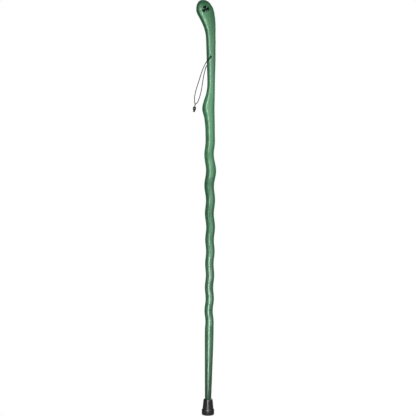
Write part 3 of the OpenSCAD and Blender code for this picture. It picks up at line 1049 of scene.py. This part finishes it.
class STAFF_OT_clover(Operator):
    """Let the clover into the face of the head"""

    bl_idname = "hiking_staff.clover"
    bl_label = "Clover"

    def execute(self, context):
        staff = bpy.data.objects["carved_staff"]
        clover = self.prism("clover", 0, CLOVER_FLOOR)
        cut(clover, copy_of(staff, "head_blank"), "INTERSECT")
        cut(staff, self.prism("recess_tool", CLOVER_GAP, CLOVER_FLOOR + CLOVER_GAP))
        smooth(staff, angle=35)
        smooth(clover, angle=35)
        dress(clover, black_inlay(), "staff", "clover_inlay")
        return {"FINISHED"}

    def leaf_outline(self, grow):
        """One heart-shaped leaf: out to one lobe, round it to the notch, and back the same way."""
        radius = LOBE_RADIUS + grow
        reach = math.hypot(LOBE_SPREAD, LEAF_REACH)
        lean = math.atan2(LOBE_SPREAD, LEAF_REACH) + math.asin(radius / reach)
        notch = math.acos(-LOBE_SPREAD / radius)
        lobe = arc(
            (LOBE_SPREAD, LEAF_REACH), radius, -math.degrees(lean), math.degrees(notch), LOBE_STEPS
        )
        return [(0, 0), *lobe, *[(-x, y) for x, y in reversed(lobe[:-1])]]

    def stalk_outline(self, grow):
        """The stalk, which widens and curves aside on its way down."""
        left = []
        right = []
        for i in range(STALK_STEPS + 1):
            t = i / STALK_STEPS
            half = STALK_WIDTH / 2 * (STALK_TOP + (1 - STALK_TOP) * t) + grow
            aside = STALK_LENGTH * STALK_CURVE * t * t
            down = -(STALK_LENGTH + grow) * t
            left.append((aside - half, down))
            right.append((aside + half, down))
        return left + right[::-1]

    def hub_outline(self, grow):
        """The round that the leaves grow from."""
        return arc((0, 0), HUB_RADIUS + grow, 0, 360, HUB_SIDES)[1:]

    def slab(self, name, outline, floor):
        """A slab of this outline on the face of the head, from the floor of the recess forwards."""
        deselect_all()
        bpy.ops.mesh.primitive_circle_add(vertices=len(outline), radius=1, fill_type="NGON")
        slab = bpy.context.object
        slab.name = slab.data.name = name
        for vertex, (x, y) in zip(slab.data.vertices, outline):
            vertex.co = (x, y, -floor)
        bpy.ops.object.mode_set(mode="EDIT")
        bpy.ops.mesh.select_all(action="SELECT")
        bpy.ops.mesh.extrude_region_move(TRANSFORM_OT_translate={"value": (0, 0, CLOVER_REACH)})
        bpy.ops.mesh.select_all(action="SELECT")
        bpy.ops.mesh.normals_make_consistent(inside=False)
        bpy.ops.object.mode_set(mode="OBJECT")
        return slab

    def prism(self, name, grow, floor):
        """The whole clover as a prism through the face of the head."""
        prism = self.slab(name, self.hub_outline(grow), floor)
        cut(prism, self.slab("stalk", self.stalk_outline(grow), floor), "UNION")
        leaf = self.slab("leaf", self.leaf_outline(grow), floor)
        for way in (-1, 0, 1):
            turned_leaf = settle(copy_of(leaf, "turned_leaf"), Matrix.Rotation(way * LEAF_TURN, 4, "Z"))
            cut(prism, turned_leaf, "UNION")
        bpy.data.objects.remove(leaf, do_unlink=True)
        upright = Matrix.Rotation(math.pi / 2, 4, "X") @ Matrix.Rotation(CLOVER_TURN, 4, "Z")
        return settle(prism, Matrix.Translation(CLOVER) @ upright)


class STAFF_OT_ferrule(Operator):
    """Mould the rubber ferrule"""

    bl_idname = "hiking_staff.ferrule"
    bl_label = "Ferrule"

    def execute(self, context):
        look = context.scene.staff_rubber
        ferrule = turned("rubber_ferrule", self.profile(), look.sides)
        self.raise_seam(ferrule, look.seam)
        modify(
            ferrule, "BEVEL", width=MOULD_EDGE, segments=2, limit_method="ANGLE",
            angle_limit=MOULD_EDGE_ANGLE,
        )
        smooth(ferrule, angle=40)
        dress(ferrule, moulded_rubber(look), "ferrule", "ferrule")
        return {"FINISHED"}

    def profile(self):
        """From the middle of the sole out over its grooves, up the wall, over the rim and down the socket."""
        profile = [(r, 0) for r in MIDDLE_RINGS]
        for i in (2, 1):
            inner = SOLE_RADIUS - i * GROOVE_PITCH
            profile += [
                (inner, 0),
                (inner + GROOVE_DRAFT, GROOVE_DEPTH),
                (inner + GROOVE_WIDTH - GROOVE_DRAFT, GROOVE_DEPTH),
                (inner + GROOVE_WIDTH, 0),
            ]
        profile += arc((SOLE_RADIUS, SOLE_EDGE), SOLE_EDGE, -90, 0, ROUND_STEPS)
        for i in range(FLARE_STEPS + 1):
            t = i / FLARE_STEPS
            radius = BASE_RADIUS + (WALL_LOW_RADIUS - BASE_RADIUS) * t * t * (3 - 2 * t)
            profile.append((radius, BASE_HIGH + FLARE_HIGH * t))
        wall_low = BASE_HIGH + FLARE_HIGH
        wall_high = FERRULE_HIGH - RIM
        for i in range(1, WALL_STEPS):
            t = i / WALL_STEPS
            radius = WALL_LOW_RADIUS + (WALL_TOP_RADIUS - WALL_LOW_RADIUS) * t
            profile.append((radius, wall_low + (wall_high - wall_low) * t))
        profile += arc((WALL_TOP_RADIUS - RIM, wall_high), RIM, 0, 90, ROUND_STEPS)
        profile += [
            (SOCKET_RADIUS + SOCKET_BEVEL, FERRULE_HIGH),
            (SOCKET_RADIUS, FERRULE_HIGH - SOCKET_BEVEL),
            (SOCKET_RADIUS, (FERRULE_HIGH + SOCKET_FLOOR) / 2),
            (SOCKET_RADIUS, SOCKET_FLOOR),
        ]
        return profile + [(r, SOCKET_FLOOR) for r in reversed(MIDDLE_RINGS)]

    def raise_seam(self, ferrule, seam):
        """The thin line that the two halves of the mould leave down both sides."""
        take(ferrule)
        bpy.ops.object.mode_set(mode="EDIT")
        bpy.ops.mesh.select_mode(type="EDGE")
        bpy.ops.mesh.select_all(action="DESELECT")
        bpy.ops.object.mode_set(mode="OBJECT")
        vertices = ferrule.data.vertices
        high = FERRULE_HIGH - RIM + ON_LINE

        def on_seam(p, room=0):
            """True on the line of the seam, and further than room from its ends."""
            return abs(p.y) < ON_LINE and SEAM_LOW + room < p.z < high - room and abs(p.x) > SEAM_INNER

        for line in ferrule.data.edges:
            line.select = all(on_seam(vertices[i].co) for i in line.vertices)
        bpy.ops.object.mode_set(mode="EDIT")
        bpy.ops.mesh.bevel(offset=SEAM_HALF, segments=2, affect="EDGES")
        bpy.ops.object.mode_set(mode="OBJECT")
        for vertex in vertices:
            if on_seam(vertex.co, SEAM_END):
                vertex.co.x += math.copysign(seam, vertex.co.x)


class STAFF_OT_washer(Operator):
    """Give the steel washer in the ferrule its finish"""

    bl_idname = "hiking_staff.washer"
    bl_label = "Washer"

    def execute(self, context):
        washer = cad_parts["ferrule_washer"]
        washer.data.materials.clear()
        washer.data.materials.append(plain_steel())
        return {"FINISHED"}


class STAFF_PT_sidebar(Panel):
    """Settings of the staff and the steps that make it"""

    bl_label = "Hiking staff"
    bl_idname = "STAFF_PT_sidebar"
    bl_space_type = "VIEW_3D"
    bl_region_type = "UI"
    bl_category = "Staff"

    def draw(self, context):
        for step in STEPS:
            self.layout.operator(step.bl_idname)
        for name in SETTINGS:
            group = getattr(context.scene, name)
            box = self.layout.box()
            for key in group.__annotations__:
                box.prop(group, key)


STEPS = (
    STAFF_OT_stage,
    STAFF_OT_bead,
    STAFF_OT_knot,
    STAFF_OT_wrist_cord,
    STAFF_OT_carved_staff,
    STAFF_OT_clover,
    STAFF_OT_ferrule,
    STAFF_OT_washer,
)
SETTINGS = {
    "staff_wood": StaffWood,
    "staff_cord": StaffCord,
    "staff_rubber": StaffRubber,
    "staff_stage": StaffStage,
}


def register():
    for group in SETTINGS.values():
        bpy.utils.register_class(group)
    for name, group in SETTINGS.items():
        setattr(bpy.types.Scene, name, PointerProperty(type=group))
    for step in STEPS:
        bpy.utils.register_class(step)
    bpy.utils.register_class(STAFF_PT_sidebar)


def unregister():
    bpy.utils.unregister_class(STAFF_PT_sidebar)
    for step in reversed(STEPS):
        bpy.utils.unregister_class(step)
    for name in SETTINGS:
        delattr(bpy.types.Scene, name)
    for group in SETTINGS.values():
        bpy.utils.unregister_class(group)


def main():
    register()
    for step in STEPS:
        group, name = step.bl_idname.split(".")
        getattr(getattr(bpy.ops, group), name)()
    deselect_all()


if __name__ == "__main__":
    main()
